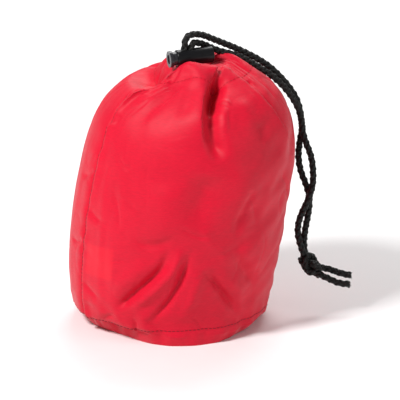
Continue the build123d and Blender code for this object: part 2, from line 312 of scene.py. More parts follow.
def creases(node, scale):
    """A web of fine creases fixed to the object."""
    place = node("ShaderNodeTexCoord").outputs["Object"]
    warp = node("ShaderNodeTexNoise", Vector=place, Scale=scale, Detail=2.0).outputs[1]
    moved = node("ShaderNodeVectorMath", Vector=warp)
    moved.operation = "SCALE"
    moved.inputs["Scale"].default_value = 0.02
    total = node("ShaderNodeVectorMath", Vector=place)
    feed(total.inputs[1], moved.outputs[0])
    web = node("ShaderNodeTexNoise", Vector=total.outputs[0], Scale=scale, Detail=3.5, Roughness=0.55)
    web.noise_type = "RIDGED_MULTIFRACTAL"
    return web.outputs[0]


BLACK = (0.0, 0.0, 0.0)


def cloth_material(name, deep, bright, yarns, roughness, bump, sheen=0.0, patch=None):
    """Woven cloth: a colour that wanders a little, bands of painted sheen, yarns in bump and roughness, and
    fine crumpling.

    yarns are the yarns across and along one UV unit. patch is the colour of what shows through the
    cloth where its point value "patch" is above 0.
    """
    material, shader, node = new_material(name, bright, roughness, Sheen_Weight=sheen,
                                          Sheen_Roughness=0.4, Specular_IOR_Level=0.24)
    weave = woven(node, *yarns)
    drift = object_noise(node, 28.0, 3.0)
    # Painted sheen: stretched noise darkens the colour in bands, standing in for the streaky highlights of
    # the satin weave.
    painted_sheen_streaks = object_noise(node, 260.0, 3.0, 0.6, (1, 1, 5))
    color = mixed(node, ranged(node, drift, 0.1, 0.9), deep, bright)
    color = mixed(node, ranged(node, weave, 0.0, 0.10), color, BLACK)
    color = mixed(node, ranged(node, painted_sheen_streaks, -0.12, 0.22), color, BLACK)
    if patch:
        shown = node("ShaderNodeAttribute")
        shown.attribute_name = "patch"
        color = mixed(node, shown.outputs["Fac"], color, patch)
    fine = object_noise(node, 420.0, 5.0)
    rough = maths(node, "ADD", ranged(node, fine, roughness - 0.07, roughness + 0.07),
                  maths(node, "MULTIPLY", weave, 0.03))
    broad = node("ShaderNodeBump", Strength=0.35, Distance=bump * 30, Height=creases(node, 13.0))
    soft = node("ShaderNodeBump", Strength=0.5, Distance=bump * 12, Height=creases(node, 48.0),
                Normal=broad.outputs[0])
    yarn = node("ShaderNodeBump", Strength=0.45, Distance=bump, Height=weave, Normal=soft.outputs[0])
    dress(shader, color, rough, yarn)
    return material


def braid_material(name, dark, light):
    """Spun black yarn: fine filaments along each strand of the braid, with a dull gloss."""
    material, shader, node = new_material(name, dark, 0.5, Specular_IOR_Level=0.24)
    uv = node("ShaderNodeUVMap").outputs["UV"]
    mapping = node("ShaderNodeMapping", Vector=uv, Scale=(14.0, 90.0, 1.0), Rotation=(0, 0, 0.25))
    filaments = node("ShaderNodeTexNoise", Vector=mapping.outputs[0], Scale=1.0, Detail=5.0).outputs[0]
    color = mixed(node, ranged(node, filaments, 0.0, 1.0), dark, light)
    color = mixed(node, ranged(node, object_noise(node, 160.0, 3.0), 0.0, 0.5), color, dark)
    bump = node("ShaderNodeBump", Strength=0.6, Distance=0.0002, Height=filaments)
    dress(shader, color, ranged(node, filaments, 0.38, 0.62), bump)
    return material


def grained_material(name, base, roughness, dark, light, rough_range, marks, bump, grain=None, **settings):
    """A plain material whose colour and roughness follow marks, and its bump the same marks or a grain.

    marks and grain are the settings of object_noise, and bump is a strength and a distance.
    """
    material, shader, node = new_material(name, base, roughness, **settings)
    worn = object_noise(node, *marks)
    height = object_noise(node, *grain) if grain else worn
    relief = node("ShaderNodeBump", Strength=bump[0], Distance=bump[1], Height=height)
    dress(shader, mixed(node, worn, dark, light), ranged(node, worn, *rough_range), relief)
    return material


# ---- Routes of the cord, in millimetres ----
INNER_ROUTE = [
    (15.575, -16.142, 196.082), (15.063, -16.305, 210.572), (23.8, -7.4, 207.2), (33.0, 0.0, 200.2),
    (41.0, 2.8, 197.0), (51.5, 5.5, 193.7), (62.5, 8.5, 185.7), (72.5, 11.0, 178.9),
    (81.5, 12.5, 170.3), (89.2, 12.5, 160.6), (94.8, 11.5, 149.5), (96.2, 10.0, 138.0),
    (96.2, 9.9, 136.4), (98.5, 8.6, 128.0), (102.6, 7.6, 118.5), (104.2, 6.6, 107.0),
    (104.0, 5.4, 96.5), (100.8, 4.2, 86.0), (95.8, 3.6, 76.0), (92.8, 4.2, 65.5),
    (93.8, 5.0, 54.5), (97.6, 5.2, 44.0),
]
OUTER_ROUTE = [
    (11.576, -17.416, 195.926), (11.082, -17.574, 209.917), (14.0, -14.0, 215.4), (23.0, -8.0, 214.2),
    (31.5, -2.0, 208.8), (41.5, 4.5, 202.8), (51.5, 10.0, 196.8), (62.5, 14.0, 190.0),
    (72.0, 16.8, 183.0), (81.0, 18.2, 173.8), (88.4, 18.6, 164.4), (94.0, 18.0, 154.0),
    (96.2, 14.8, 138.0), (96.2, 14.9, 136.4), (94.4, 14.0, 127.0), (93.2, 12.8, 115.0),
    (95.4, 11.4, 104.0), (99.6, 10.2, 94.5), (102.0, 9.8, 83.5), (100.6, 9.8, 72.0),
    (98.4, 9.8, 61.0), (97.4, 9.8, 49.5), (98.6, 9.8, 43.0),
]
KNOT_CENTRE = np.array([102.6, 7.2, 35.4])
KNOT_AXIS = np.array([0.74, 0.0, -0.67])
KNOT_GAP = 0.42             # how far the trefoil is opened, in radians
KNOT_SCALES = (2.15, 1.55, 3.1)             # along, across and through the knot
STRAND_OFFSET = 1.55        # of each of the two cords from the middle of the pair
UPPER_TAIL = [
    (101.8, 8.6, 35.4), (108.5, 9.4, 32.8), (116.0, 9.9, 31.4), (123.5, 9.2, 28.4),
    (131.5, 9.6, 26.6),
]
LOWER_TAIL = [
    (101.6, 6.4, 33.2), (108.0, 5.0, 29.2), (115.5, 4.2, 26.0), (123.0, 4.9, 21.8),
    (130.5, 4.2, 21.6),
]

BRAID_TURN = 15.0           # length in which a strand goes once round
STRANDS_EACH_WAY = 3
STRAND_HALF_WIDTH = 1.22
STRAND_HALF_THICK = 0.74
BRAID_RADIUS = 1.40
BRAID_WAVE = 0.50
BRAID_STEP = 0.5


def nurbs_path(name, route):
    """The points of one smooth NURBS line through a route, in millimetres."""
    curve = bpy.data.curves.new(name, "CURVE")
    curve.dimensions = "3D"
    curve.resolution_u = 24
    spline = curve.splines.new("NURBS")
    spline.points.add(len(route) - 1)
    for point, place in zip(spline.points, route):
        point.co = (*(c * MM for c in place), 1)
    spline.order_u = 3
    spline.use_endpoint_u = True
    line = bpy.data.objects.new(name, curve)
    bpy.context.collection.objects.link(line)
    bpy.context.view_layer.update()
    mesh = bpy.data.meshes.new_from_object(line)
    points = np.array([tuple(v.co) for v in mesh.vertices]) * 1000
    bpy.data.objects.remove(line)
    bpy.data.meshes.remove(mesh)
    return points


def add_braid(soup, path, flare=0.0):
    """A round braid of six strands along a path. flare opens its far end, as cut cord does."""
    points, along = resample(path, BRAID_STEP)
    _, across, other = frames_along(points)
    end = np.clip((along - along[-1] + 2.5) / 2.5, 0, 1) ** 2 * flare
    sides = np.linspace(0, 2 * pi, 8, endpoint=False)
    wide = STRAND_HALF_WIDTH * np.sign(np.cos(sides)) * np.abs(np.cos(sides)) ** 0.8
    thick = STRAND_HALF_THICK * np.sin(sides)
    for way in (1, -1):
        for strand in range(STRANDS_EACH_WAY):
            turn = way * 2 * pi * along / BRAID_TURN + strand * 2 * pi / STRANDS_EACH_WAY
            lift = way * np.cos(2 * pi * STRANDS_EACH_WAY * along / BRAID_TURN)
            radius = BRAID_RADIUS + BRAID_WAVE * lift + end * (0.6 + 0.5 * sin(strand * 2.3 + way))
            out = across * np.cos(turn)[:, None] + other * np.sin(turn)[:, None]
            middle = points + out * radius[:, None]
            heading = unit(np.gradient(middle, axis=0))
            side = unit(np.cross(heading, out))
            ring = side[:, None] * wide[None, :, None] + out[:, None] * thick[None, :, None]
            add_grid(soup, middle[:, None] + ring, v=along / 10, wrap=True, caps=True)
    add_tube(soup, points, 0.9 + 0.2 * end, sides=8)


def add_fibres(soup, path, seed, count):
    """Short stray fibres that stand off the braid."""
    chance = np.random.default_rng(seed)
    points, _ = resample(path, 0.5)
    tangent, across, other = frames_along(points)
    for _ in range(count):
        i = int(chance.integers(2, len(points) - 2))
        turn = chance.uniform(0, 2 * pi)
        out = across[i] * cos(turn) + other[i] * sin(turn)
        sway = tangent[i] * chance.uniform(-1, 1) + unit(chance.normal(size=3)) * 0.5
        reach = chance.uniform(0.5, 1.3)
        t = np.linspace(0, 1, 5)[:, None]
        fibre = points[i] + out * (1.7 + reach * t) + sway * reach * t ** 2
        add_tube(soup, fibre, np.linspace(0.045, 0.02, 5), sides=3, caps=False)


def free_cord(name, route, braid, seed, tail=False):
    """One strand of the drawcord as a braided mesh, and the line it follows."""
    path = nurbs_path(name + "_line", route)
    soup = new_soup()
    add_braid(soup, path, flare=0.5 if tail else 0.0)
    add_fibres(soup, path, seed, int(len(route) * 6))
    if tail:
        add_cut_end(soup, path, seed)
    piece = make_object(name, soup, braid)
    length = float(np.linalg.norm(np.diff(path, axis=0), axis=1).sum()) * MM
    return piece, [tuple(p) for p in (resample(path, 1.0)[0] * MM).tolist()], length


def add_cut_end(soup, path, seed):
    """The heat-sealed end of a cord: a rough bead and the yarns that escaped it."""
    chance = np.random.default_rng(seed)
    tip, back = path[-1], path[-4]
    heading = unit(tip - back)
    bead = tip + heading * np.linspace(-1.4, 0.7, 7)[:, None]
    radii = np.array([1.5, 1.75, 1.9, 1.85, 1.6, 1.15, 0.4])
    add_tube(soup, bead, radii, sides=12)
    for _ in range(26):
        side = unit(np.cross(heading, chance.normal(size=3)))
        t = np.linspace(0, 1, 5)[:, None]
        reach = chance.uniform(0.8, 2.2)
        bend = unit(chance.normal(size=3)) * 0.5
        foot = tip + side * chance.uniform(0.6, 1.7)
        yarn = foot + (heading * 0.8 + side * 0.5) * reach * t + bend * t ** 2
        add_tube(soup, yarn, np.linspace(0.11, 0.04, 5), sides=4)


def knot_paths():
    """The lines of the two cords in an overhand knot: a trefoil opened at one lobe."""
    knot_side = np.cross(KNOT_AXIS, [0.0, 1.0, 0.0])
    front = np.array([0.0, -1.0, 0.0])
    t = np.linspace(3 * pi - KNOT_GAP, pi + KNOT_GAP, 120)
    trefoil = [-(np.sin(t) + 2 * np.sin(2 * t)), np.cos(t) - 2 * np.cos(2 * t), np.sin(3 * t)]
    middle = np.stack(trefoil, axis=1) * KNOT_SCALES
    lead_in = np.array([[-9.5, 0.0, 0.4], [-8.0, -0.6, 0.4]])
    lead_out = np.array([[8.0, -0.6, 0.0], [10.0, 0.0, 0.0]])
    local, _ = resample(np.concatenate([lead_in, middle, lead_out]), 0.5)
    local = eased(local, 15)
    world = KNOT_CENTRE + local[:, :1] * KNOT_AXIS + local[:, 1:2] * knot_side + local[:, 2:] * front
    _, across, other = frames_along(world)
    roll = np.linspace(0.3, 2.6, len(world))[:, None]
    apart = across * np.cos(roll) + other * np.sin(roll)
    return world + apart * STRAND_OFFSET, world - apart * STRAND_OFFSET


def make_cords():
    """The drawcord: two strands from lock to knot, the knot, two tails and the run in the hem."""
    braid = braid_material("drawcord", (0.003, 0.003, 0.003), (0.022, 0.021, 0.020))
    knot_soup = new_soup()
    for number, path in enumerate(knot_paths()):
        add_braid(knot_soup, path)
        add_fibres(knot_soup, path, 40 + number, 60)
    knot = make_object("cord_knot", knot_soup, braid)
    stand_in(knot, "cord_end", "drawcord", "drawcord_knot")
    strands = (("inner", INNER_ROUTE, [knot]), ("outer", OUTER_ROUTE, []))
    for seed, (strand, route, carried) in enumerate(strands):
        piece, path, length = free_cord("cord_" + strand, route, braid, seed)
        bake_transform(piece)
        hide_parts(f"drawcord_{strand}_over_shoulder", f"drawcord_{strand}_hanging")
    for seed, (tail, route) in enumerate((("upper", UPPER_TAIL), ("lower", LOWER_TAIL))):
        piece, path, length = free_cord("cord_tail_" + tail, route, braid, 10 + seed, tail=True)
        stand_in(piece, "cord_end", "drawcord", f"drawcord_{tail}_tail")
    make_hem_run(braid)


CHANNEL_CENTRE = (20.5, 0.0, 188.0)
CHANNEL_RADIUS = 19.0
CHANNEL_START, CHANNEL_SWEEP = 283, 308     # degrees: where the run begins, and how far round it goes
CORD_ROOM = 2.9             # the cloth's gathers stop this far from the middle of the cord in the hem
LOCK_DROP = np.array([-0.2, -0.1, 6.2])     # from the channel up into the lock


def make_hem_run(braid):
    """The part of the drawcord that goes round inside the hem, from one strand's foot to the other."""
    start, end = np.array(INNER_ROUTE[0]), np.array(OUTER_ROUTE[0])
    turn = np.radians(np.linspace(CHANNEL_START, CHANNEL_START + CHANNEL_SWEEP, 24))
    x, y, z = CHANNEL_CENTRE
    ring = about_axis(turn, CHANNEL_RADIUS, z, x) + (0.0, y, 0.0)
    path = nurbs_path("hem_line", [start, start - LOCK_DROP, *ring, end - LOCK_DROP, end])
    soup = new_soup()
    add_braid(soup, path)
    run = make_object("cord_hem_run", soup, braid)
    stand_in(run, "sack", "drawcord", "drawcord_hem_run")


# ---- The sack's cloth ----
# The outline of the sack from its base seam to the mouth's crest and down into the throat:
# height, x of the centre, radius.
PROFILE = np.array([
    (8.0, 0.0, 70.0), (14.0, 0.4, 71.6), (25.0, 1.2, 73.6), (45.0, 3.0, 76.0), (64.0, 5.2, 77.0),
    (84.0, 7.5, 77.3), (103.0, 10.3, 77.0), (120.0, 13.0, 76.0), (134.0, 14.9, 74.6), (146.0, 16.5, 72.2),
    (154.0, 17.3, 69.6), (160.0, 18.0, 66.4), (165.5, 18.9, 62.6), (171.0, 19.7, 57.6), (176.0, 20.4, 51.5),
    (180.5, 20.5, 44.8), (184.5, 20.5, 38.2), (188.0, 20.5, 32.5), (191.0, 20.5, 27.5), (192.9, 20.5, 22.5),
    (193.2, 20.5, 18.0), (192.2, 20.5, 14.2), (189.5, 20.5, 11.6), (185.0, 20.5, 9.8), (180.0, 20.5, 8.6),
])
CREST_ROW = 20
WALL_COLUMNS = 400
WALL_ROWS = 200
SEAM_ANGLE = 208.5
LABEL_ANGLE, LABEL_Z, LABEL_SIZE = 224.5, 61.0, (30.0, 22.0)
SACK_RADIUS = 77            # at the height of the label


def profile_table():
    """The outline in even steps: distance along it, height, x of the centre and radius."""
    runs = np.hypot(np.diff(PROFILE[:, 0]), np.diff(PROFILE[:, 2]))
    along = np.concatenate([[0], np.cumsum(runs)])
    marks = np.linspace(0, along[-1], WALL_ROWS)
    table = at_marks(marks, along, PROFILE)
    first_step, last_step = table[1] - table[0], table[-1] - table[-2]
    before = table[0] - first_step - np.arange(5, -1, -1)[:, None] * first_step
    after = table[-1] + np.arange(1, 7)[:, None] * last_step
    kernel = np.hanning(13) / np.hanning(13).sum()
    return marks, softened(np.concatenate([before, table, after]), kernel), float(along[CREST_ROW])


MARKS, TABLE, CREST_MARK = profile_table()


def on_sack(angle, height):
    """A point of the smooth sack at an angle in degrees round it and a height below the crest."""
    heights, centres, radii = TABLE[MARKS <= CREST_MARK].T
    centre, radius = np.interp(height, heights, centres), np.interp(height, heights, radii)
    return about_axis(np.radians(angle), radius, height, centre)


# The folds that the cloth shows. Each: kind, depth, half width, share of its length that fades in,
# share that fades out, and the places it runs through, as angle round the sack and height.
FOLDS = [
    # The deep pleat under the front of the mouth: its lip, the dark hollow beside it, its tail.
    ("lip", 5, 14, 0, 0.35, (299, 191), (286, 186.5), (276.5, 181), (274.4, 174.5), (274.6, 166.5),
     (277.2, 156), (281.5, 148)),
    ("valley", 13, 5.6, 0.2, 0.45, (301, 189.5), (291.5, 185), (284.5, 180), (282.5, 175), (282, 168.5),
     (283.5, 160)),
    ("valley", 6.5, 5.4, 0.25, 0.35, (282.5, 172), (282.5, 163), (284, 154), (287, 146), (290, 136)),
    ("ridge", 1.4, 6.5, 0.4, 0.5, (291, 176), (290, 167), (291, 155)),
    ("crease", 1.2, 2.2, 0.3, 0.6, (297.5, 173.5), (294, 167.5), (295, 160), (291.5, 154)),
    ("ridge", 1.1, 1.7, 0.3, 0.4, (287, 179), (295, 176), (298, 172)),
    ("crease", 1.1, 1.5, 0.3, 0.4, (287.5, 177), (294, 174.3), (297, 170.5)),
    # The long overlap that falls to the right shoulder.
    ("lip", 2.6, 8, 0, 0.25, (309, 191.5), (317.2, 189.5), (320.5, 186), (325.5, 178), (327, 171.5),
     (330.6, 164), (332.8, 155), (339, 144), (344, 132)),
    ("crease", 3, 1.9, 0.05, 0.5, (318.6, 190), (322, 186), (326.6, 178), (328.6, 171), (332, 163.5),
     (334.5, 154), (340, 144)),
    ("crease", 3.6, 1.5, 0.2, 0.4, (331, 183), (327.5, 178.5)),
    ("crease", 0.9, 1.8, 0.2, 0.5, (326, 176), (333, 166), (339, 152)),
    ("crease", 0.8, 1.8, 0.2, 0.5, (321.5, 183), (327, 170), (331, 160)),
    ("crease", 0.9, 1.4, 0.3, 0.5, (318, 184), (322, 172), (326, 161)),
    ("valley", 1.5, 5, 0.3, 0.5, (316, 162), (317, 152), (318.5, 143)),
    ("ridge", 1.5, 7, 0.3, 0.5, (306, 178), (308, 165), (309, 150)),
    # The broad valleys of the left shoulder.
    ("valley", 3.3, 7.5, 0.1, 0.5, (262, 190), (252.2, 181.7), (241.9, 170.6), (235.8, 160.5), (231, 148)),
    ("ridge", 2.2, 6, 0.2, 0.5, (257, 184), (247, 173.5), (240.5, 162), (236, 149)),
    ("crease", 1.5, 1.6, 0.2, 0.4, (248, 186), (238, 179), (229, 169), (222, 158)),
    ("crease", 1.1, 1.3, 0.3, 0.4, (254, 184), (247, 177), (240, 168)),
    ("ridge", 1.8, 4, 0.2, 0.5, (243, 184), (234, 175), (226, 164)),
    ("crease", 2, 2, 0.1, 0.5, (247, 190.5), (240, 186), (233, 181)),
    ("ridge", 2.1, 2.6, 0.2, 0.4, (238, 187), (230, 182), (224, 176)),
    ("lip", 3.4, 7, 0.1, 0.4, (240, 190), (230, 186.5), (222.5, 181.5), (216.5, 174.5), (211.5, 165),
     (209, 154)),
    ("crease", 4.2, 1.7, 0.1, 0.5, (232, 187.5), (225, 184), (219.5, 179), (215, 172)),
    ("ridge", 1.5, 1.6, 0.3, 0.4, (206, 147), (212, 154), (218, 157.5)),
    ("valley", 1.8, 5, 0.3, 0.4, (268, 186), (264, 175), (262, 162)),
    # Notches where the side seam gathers.
    ("crease", 1.4, 1.8, 0.2, 0.4, (209.5, 168), (214.5, 171.5), (218, 173)),
    ("crease", 1.4, 1.8, 0.2, 0.4, (212, 172.5), (217, 176.5), (222, 178)),
    ("crease", 1.4, 1.8, 0.2, 0.5, (209.5, 158), (215, 160), (221, 160)),
    # Creases of the lower body, pressed in by the folded blanket.
    ("valley", 3.8, 3.4, 0.2, 0.35, (238.5, 27), (246, 36), (254, 46), (261, 55), (265.5, 63), (267, 72),
     (264, 82)),
    ("crease", 1.6, 1.3, 0.2, 0.35, (240, 28), (248, 38.5), (257, 50), (263, 58.5), (266.3, 67)),
    ("ridge", 3, 3.6, 0.25, 0.3, (273.5, 82), (273, 70), (270, 58), (262.5, 46), (254, 35), (247, 25)),
    ("ridge", 1.8, 5.5, 0.3, 0.4, (236, 40), (246, 52), (255, 63), (258, 74)),
    ("valley", 3.2, 2.8, 0.3, 0.35, (279.5, 80), (278, 66), (275, 50), (270, 36), (262, 22), (256, 14)),
    ("crease", 1.4, 1.2, 0.3, 0.35, (278.5, 68), (275.8, 52), (271, 38), (264, 26)),
    ("ridge", 2, 5, 0.3, 0.4, (284, 64), (284.5, 48), (281, 32), (276, 20)),
    ("valley", 3.2, 3, 0.3, 0.35, (286, 62), (294, 50), (302, 37), (310, 25), (316, 14)),
    ("crease", 1.4, 1.2, 0.3, 0.35, (289, 58), (297, 46), (305, 33), (313, 20)),
    ("ridge", 2.2, 5, 0.3, 0.4, (292, 64), (301, 52), (311, 38), (320, 26)),
    ("valley", 2.4, 3.4, 0.3, 0.4, (300, 74), (309, 60), (319, 45), (328, 32)),
    ("crease", 1.2, 1.3, 0.3, 0.4, (270, 96), (277, 88), (286, 84), (294, 86)),
    ("crease", 1, 1.2, 0.3, 0.4, (232, 62), (240, 66), (250, 66)),
    ("ridge", 1.6, 6, 0.3, 0.4, (306, 78), (316, 62), (329, 44)),
    ("valley", 1.6, 3.2, 0.3, 0.4, (246, 84), (256, 78), (264, 80), (272, 88)),
    ("ridge", 1.4, 4, 0.3, 0.4, (283, 96), (288, 82), (296, 72), (306, 60)),
    ("valley", 1.5, 3.4, 0.3, 0.4, (312, 118), (306, 104), (303, 88), (305, 74)),
    ("crease", 1.3, 1.6, 0.3, 0.4, (224, 140), (232, 132), (243, 128)),
    ("crease", 1.3, 1.8, 0.3, 0.4, (256, 26), (262, 18), (266, 10)),
    ("crease", 1.5, 1.8, 0.3, 0.4, (284, 26), (288, 17), (290, 9)),
    ("valley", 3.4, 10, 0.3, 0.4, (284, 132), (281, 110), (278, 88)),
    ("ridge", 2.6, 13, 0.3, 0.4, (258, 128), (262, 100), (264, 74)),
    ("ridge", 2, 11, 0.3, 0.4, (302, 140), (303, 116), (304, 92)),
    ("crease", 1.6, 3.4, 0.4, 0.4, (228, 118), (236, 97), (238, 80)),
    ("crease", 1.4, 3.4, 0.4, 0.4, (303, 122), (312, 104), (318, 82)),
    ("crease", 1.9, 2.8, 0.2, 0.5, (209.5, 96), (219, 90), (229, 91)),
    ("crease", 2.2, 2.8, 0.2, 0.5, (209.5, 44), (220, 36), (229, 34)),
    ("crease", 2.2, 2.8, 0.2, 0.5, (208, 122), (198, 114), (189, 113)),
    ("crease", 2.2, 2.8, 0.2, 0.5, (208, 72), (197, 66), (187, 69)),
    ("crease", 1.8, 2.8, 0.2, 0.5, (334, 120), (343, 105), (348, 84)),
    ("crease", 3, 2.6, 0.1, 0.5, (250, 9), (252, 18), (250, 27)),
    ("crease", 2.4, 2.4, 0.1, 0.5, (222, 10), (230, 18), (240, 22)),
    ("ridge", 2, 5, 0.2, 0.5, (257, 10), (258, 22), (256, 34)),
]


def smooth(value):
    """A soft step from 0 to 1."""
    value = np.clip(value, 0, 1)
    return value * value * (3 - 2 * value)


def nearest_on(points, normals, line):
    """For each point: distance to a polyline, which side it is on, and how far along it (0 to 1)."""
    best = np.full(points.shape[:-1], 1e9)
    side = np.zeros_like(best)
    place = np.zeros_like(best)
    runs = np.linalg.norm(np.diff(line, axis=0), axis=1)
    starts = np.concatenate([[0], np.cumsum(runs)])
    for i, run in enumerate(runs):
        heading = (line[i + 1] - line[i]) / run
        offset = points - line[i]
        reach = np.clip(offset @ heading, 0, run)
        gap = offset - reach[..., None] * heading
        distance = np.linalg.norm(gap, axis=-1)
        closer = distance < best
        best = np.where(closer, distance, best)
        cross = np.cross(np.broadcast_to(heading, gap.shape), gap)
        side = np.where(closer, np.sign(np.einsum("...k,...k", cross, normals)), side)
        place = np.where(closer, (starts[i] + reach) / starts[-1], place)
    return best, side, place


def curved(line):
    """The smooth line of a fold through its places."""
    return eased(resample(line, 1.5)[0], 9)[::2]


def fold_field(points, normals):
    """How far the folds push each point of the wall outward, and how far along the wall's turn."""
    push = np.zeros(points.shape[:-1])
    slide = np.zeros(points.shape[:-1])
    for kind, depth, width, fade_in, fade_out, *places in FOLDS:
        line = curved(on_sack(*np.array(places, float).T))
        middle = line.mean(axis=0)
        reach = np.linalg.norm(line - middle, axis=1).max() + 4 * width
        near = np.linalg.norm(points - middle, axis=-1) < reach
        distance, side, place = nearest_on(points[near], normals[near], line)
        fade = smooth(place / max(fade_in, 1e-3)) * smooth((1 - place) / max(fade_out, 1e-3))
        if kind == "valley":
            push[near] -= depth * fade * np.exp(-(distance / width) ** 2)
        elif kind == "ridge":
            push[near] += depth * fade * np.exp(-(distance / width) ** 2)
        elif kind == "crease":
            shape = np.exp(-distance / width) - 0.25 * np.exp(-(distance / (2.5 * width)) ** 2)
            push[near] -= depth * fade * shape
        elif kind == "lip":
            raised = np.where(side < 0, np.exp(-(distance / width) ** 1.5), np.exp(-(distance / 1.3) ** 2))
            push[near] += depth * fade * raised
            turned = np.where(side < 0, np.exp(-(distance / (0.5 * width)) ** 2), 0)
            slide[near] += 0.35 * depth * fade * turned
    return push, slide


def wave_noise(points, size, seed, count=28):
    """Smooth noise from -1 to 1: a sum of plane waves of about one size."""
    chance = np.random.default_rng(seed)
    total = np.zeros(points.shape[:-1])
    for _ in range(count):
        heading = unit(chance.normal(size=3)) * 2 * pi / (size * chance.uniform(0.7, 1.5))
        total += np.cos(points @ heading + chance.uniform(0, 2 * pi))
    return total / np.sqrt(count / 2) / 1.6


def angle_gap(angle, centre):
    """The shorter way round from centre to angle, in degrees."""
    return (angle - centre + 180) % 360 - 180


# The gathers of the drawn mouth. Each: how many go round, depth, radius they reach, fade at the end.
GATHERS = ((27, 1.5, 34, 10), (15, 3.0, 50, 18), (8, 2.6, 66, 16))
FRONT_ANGLE, FRONT_REACH = 270, 78          # where the gathers are quiet, in degrees


def mouth_pleats(angle, radius):
    """The gathers that the drawn cord makes: many small ones at the mouth, fewer further out."""
    turn = np.radians(angle)
    wander = 0.35 * np.sin(2 * turn + 0.7) + 0.22 * np.sin(5 * turn + 2.1) + 0.12 * np.sin(9 * turn + 4.0)
    twist = 0.30 * np.sin(3 * turn + 1.0) * (radius - 20) / 50
    front = np.exp(-(angle_gap(angle, FRONT_ANGLE) / FRONT_REACH) ** 6)
    total = np.zeros_like(radius)
    for number, depth, reach, ease in GATHERS:
        uneven = 0.75 + 0.4 * np.sin(2 * turn + number) + 0.25 * np.sin(3 * turn + 1.7 * number)
        share = smooth((reach - radius) / ease)
        ridge = 0.5 - np.abs(np.sin(0.5 * number * (turn + wander * 8 / number + twist))) ** 0.8
        quiet = 1 - 0.82 * front
        total -= depth * share * uneven * ridge * quiet
    return total


def mark_at(height):
    """The distance along the outline at a height below the crest."""
    outer = MARKS <= CREST_MARK
    return np.interp(height, TABLE[outer, 0], MARKS[outer])


SETTLE_FRAMES = 26
SLACK = 0.024                # how much more cloth there is than the smooth shape takes up
LEAST_HOLD = 0.03           # how firmly the cloth keeps to its first shape where nothing holds it
SETTLE_SOFTENING = 3        # passes that take the thin crinkles out of the movement
SETTLE_STEP = 2             # one point of the simulated cloth for so many of the wall's
CLOTH_SETTINGS = {
    "quality": 5, "mass": 0.05, "tension_stiffness": 18, "compression_stiffness": 18,
    "shear_stiffness": 6, "bending_stiffness": 3.5, "tension_damping": 8, "compression_damping": 8,
    "air_damping": 6, "shrink_min": -SLACK, "shrink_max": -SLACK, "vertex_group_mass": "held",
    "pin_stiffness": 1.0,
}


def smooth_body(inset):
    """The smooth outline, moved inward: what fills the sack and keeps the cloth out."""
    turn = np.radians(np.linspace(0, 360, 96, endpoint=False))
    rows = TABLE[MARKS <= CREST_MARK - 12][::3]
    height, centre, radius = (rows[:, k:k + 1] for k in range(3))
    return about_axis(turn, radius - inset, height, centre)


def between(grid, row, column):
    """Values of a grid that closes round the sack, at places between its rows and columns."""
    r, c = np.minimum(np.floor(row).astype(int), len(grid) - 2), np.floor(column).astype(int)
    row_share, column_share = (row - r)[..., None], (column - c)[..., None]
    c, c_next = c % grid.shape[1], (c + 1) % grid.shape[1]
    low = grid[r, c] * (1 - column_share) + grid[r, c_next] * column_share
    high = grid[r + 1, c] * (1 - column_share) + grid[r + 1, c_next] * column_share
    return low * (1 - row_share) + high * row_share


def settling_cloth(coarse, marks, material):
    """The cloth of the simulation, held at its base, at its mouth and, a little, everywhere."""
    cloth = sheet_object("settling_cloth", coarse, material, wrap=True)
    held = cloth.vertex_groups.new(name="held")
    columns = coarse.shape[1]
    firm = np.maximum(smooth((marks - mark_at(183)) / 9), smooth((mark_at(11) - marks) / 2))
    for row, hold in enumerate(firm):
        ring = list(range(row * columns, (row + 1) * columns))
        held.add(ring, float(max(hold, LEAST_HOLD)), "REPLACE")
    modifier = cloth.modifiers.new("cloth", "CLOTH")
    for title, value in CLOTH_SETTINGS.items():
        setattr(modifier.settings, title, value)
    modifier.settings.effector_weights.gravity = 0.25
    modifier.collision_settings.distance_min = 0.0006
    modifier.collision_settings.collision_quality = 3
    modifier.point_cache.frame_start = 1
    modifier.point_cache.frame_end = SETTLE_FRAMES
    return cloth


def settling_body(material):
    """What the cloth of the simulation rests on."""
    body = sheet_object("settling_body", smooth_body(3.0), material, wrap=True)
    body.modifiers.new("collision", "COLLISION")
    body.collision.thickness_outer = 0.0008
    body.collision.cloth_friction = 12
    return body


def settled(points):
    """The wall after its slack cloth has buckled and dropped: a short cloth simulation."""
    coarse = points[::SETTLE_STEP, ::SETTLE_STEP]
    rows, columns = coarse.shape[:2]
    marks = MARKS[::SETTLE_STEP]
    plain = bpy.data.materials.new("settling")
    cloth = settling_cloth(coarse, marks, plain)
    body = settling_body(plain)
    scene = bpy.context.scene
    for moment in range(1, SETTLE_FRAMES + 1):
        scene.frame_set(moment)
    shape = cloth.evaluated_get(bpy.context.evaluated_depsgraph_get()).to_mesh()
    after = np.empty(rows * columns * 3)
    shape.vertices.foreach_get("co", after)
    near_mouth = smooth((mark_at(186) - marks) / 24)
    moved = (after.reshape(coarse.shape) * 1000 - coarse) * near_mouth[:, None, None]
    for _ in range(SETTLE_SOFTENING):
        moved = 0.5 * moved + 0.25 * (np.roll(moved, 1, axis=1) + np.roll(moved, -1, axis=1))
        moved[1:-1] = 0.5 * moved[1:-1] + 0.25 * (moved[:-2] + moved[2:])
    scene.frame_set(1)
    bpy.data.objects.remove(cloth)
    bpy.data.objects.remove(body)
    row = np.minimum(np.arange(WALL_ROWS) / SETTLE_STEP, rows - 1)[:, None]
    column = np.arange(WALL_COLUMNS)[None, :] / SETTLE_STEP
    return points + between(moved, row, column)


